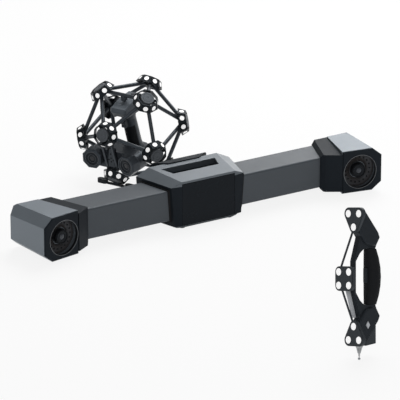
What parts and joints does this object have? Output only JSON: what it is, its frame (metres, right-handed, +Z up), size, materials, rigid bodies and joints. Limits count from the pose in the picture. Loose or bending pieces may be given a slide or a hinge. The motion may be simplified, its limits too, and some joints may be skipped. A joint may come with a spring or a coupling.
{
  "type": "tracking laser scanner",
  "caption": "Stereo tracker bar with infrared camera heads, a handheld laser scanner in a cage of marker rings, and a touch probe with marker plates.",
  "frame": {"origin": "Mouth of the tripod thread in the tracker's underside, on the floor plane Z = 0.", "axes": "X runs along the tracker bar to its right as seen from the front, Y runs backwards away from the side its cameras face, Z is up. The scanner stands behind the tracker and the probe in front of it."},
  "size_m": [1.034, 1.48, 0.3397],
  "materials": {
    "beam_paint": "satin dark grey powder coat",
    "housing_paint": "satin metallic grey",
    "black_plastic": "fine black texture",
    "panel_gloss": "glossy black",
    "ring_grey": "satin grey",
    "lens_glass": "coated glass",
    "board": "solder mask",
    "gasket": "soft black",
    "steel": "machined",
    "foot_rubber": "moulded",
    "marker_white": "retroreflective sheet",
    "cage_black": "moulded, satin",
    "cap_grey": "moulded, satin",
    "rod_grey": "satin tube",
    "scanner_grey": "fine texture",
    "grip_rubber": "soft grip",
    "key_grey": "satin",
    "projector_black": "glossy",
    "probe_grey": "fine texture",
    "plate_grey": "satin",
    "strip_pale": "satin",
    "strut_black": "satin",
    "tip_ceramic": "polished ball"
  },
  "bodies": {
    "instruments": {"beam_tube": "beam_paint", "left_end_collar": "black_plastic", "right_end_collar": "black_plastic", "left_camera_housing": "housing_paint", "right_camera_housing": "housing_paint", "left_front_bezel": "black_plastic", "right_front_bezel": "black_plastic", "lens_rings": "ring_grey", "led_boards": "board", "left_lens_barrel": "black_plastic", "right_lens_barrel": "black_plastic", "left_front_lens": "lens_glass", "right_front_lens": "lens_glass", "sensor_boards": "board", "rear_covers": "black_plastic", "centre_housing": "black_plastic", "top_cover": "housing_paint", "front_panel": "panel_gloss", "module_gaskets": "gasket", "bottom_plate": "beam_paint", "tripod_socket": "steel", "tracker_feet": "foot_rubber", "connector_panel": "black_plastic", "rear_sockets": "steel", "controller_board": "board", "tracker_screws": "steel", "marker_rings": "cage_black", "hub_caps": "cap_grey", "cage_markers": "marker_white", "cage_rods": "rod_grey", "scanner_body": "scanner_grey", "left_scan_camera": "scanner_grey", "right_scan_camera": "scanner_grey", "scan_camera_lenses": "projector_black", "laser_projector": "projector_black", "scanner_grip": "grip_rubber", "scanner_handle": "scanner_grey", "scanner_head": "scanner_grey", "cage_posts": "scanner_grey", "support_foot": "cage_black", "scanner_socket": "steel", "front_fork": "scanner_grey", "probe_frame": "probe_grey", "probe_grip": "grip_rubber", "upper_marker_plate": "plate_grey", "middle_marker_plate": "plate_grey", "lower_marker_plate": "plate_grey", "probe_markers": "marker_white", "plate_struts": "strut_black", "light_strip": "strip_pale", "stylus_holder": "steel", "stylus": "steel", "stylus_tip": "tip_ceramic", "battery_pack": "plate_grey", "probe_screws": "steel"},
    "power_key": {"power_button": "key_grey"},
    "trigger": {"scanner_trigger": "key_grey"},
    "menu_key": {"menu_button": "key_grey"},
    "finger_key": {"finger_button": "key_grey"},
    "side_key_body": {"side_key": "key_grey"}
  },
  "joints": [
    {"name": "power_press", "type": "slide", "parent": "instruments", "child": "power_key", "axis": [0, -1, 0], "range_m": [0, 0.0012], "stiffness_N_per_m": 800, "springref_m": -0.0006},
    {"name": "trigger_pull", "type": "slide", "parent": "instruments", "child": "trigger", "axis": [0.854, 0.4, 0.3328], "range_m": [0, 0.003], "stiffness_N_per_m": 500, "springref_m": -0.001},
    {"name": "menu_press", "type": "slide", "parent": "instruments", "child": "menu_key", "axis": [0.0931, 0.0436, -0.9947], "range_m": [0, 0.001], "stiffness_N_per_m": 800, "springref_m": -0.0006},
    {"name": "finger_press", "type": "slide", "parent": "instruments", "child": "finger_key", "axis": [0.9662, 0.1133, -0.2317], "range_m": [0, 0.002], "stiffness_N_per_m": 500, "springref_m": -0.001},
    {"name": "side_press", "type": "slide", "parent": "instruments", "child": "side_key_body", "axis": [-0.176, 0.9463, -0.2713], "range_m": [0, 0.001], "stiffness_N_per_m": 800, "springref_m": -0.0006}
  ]
}
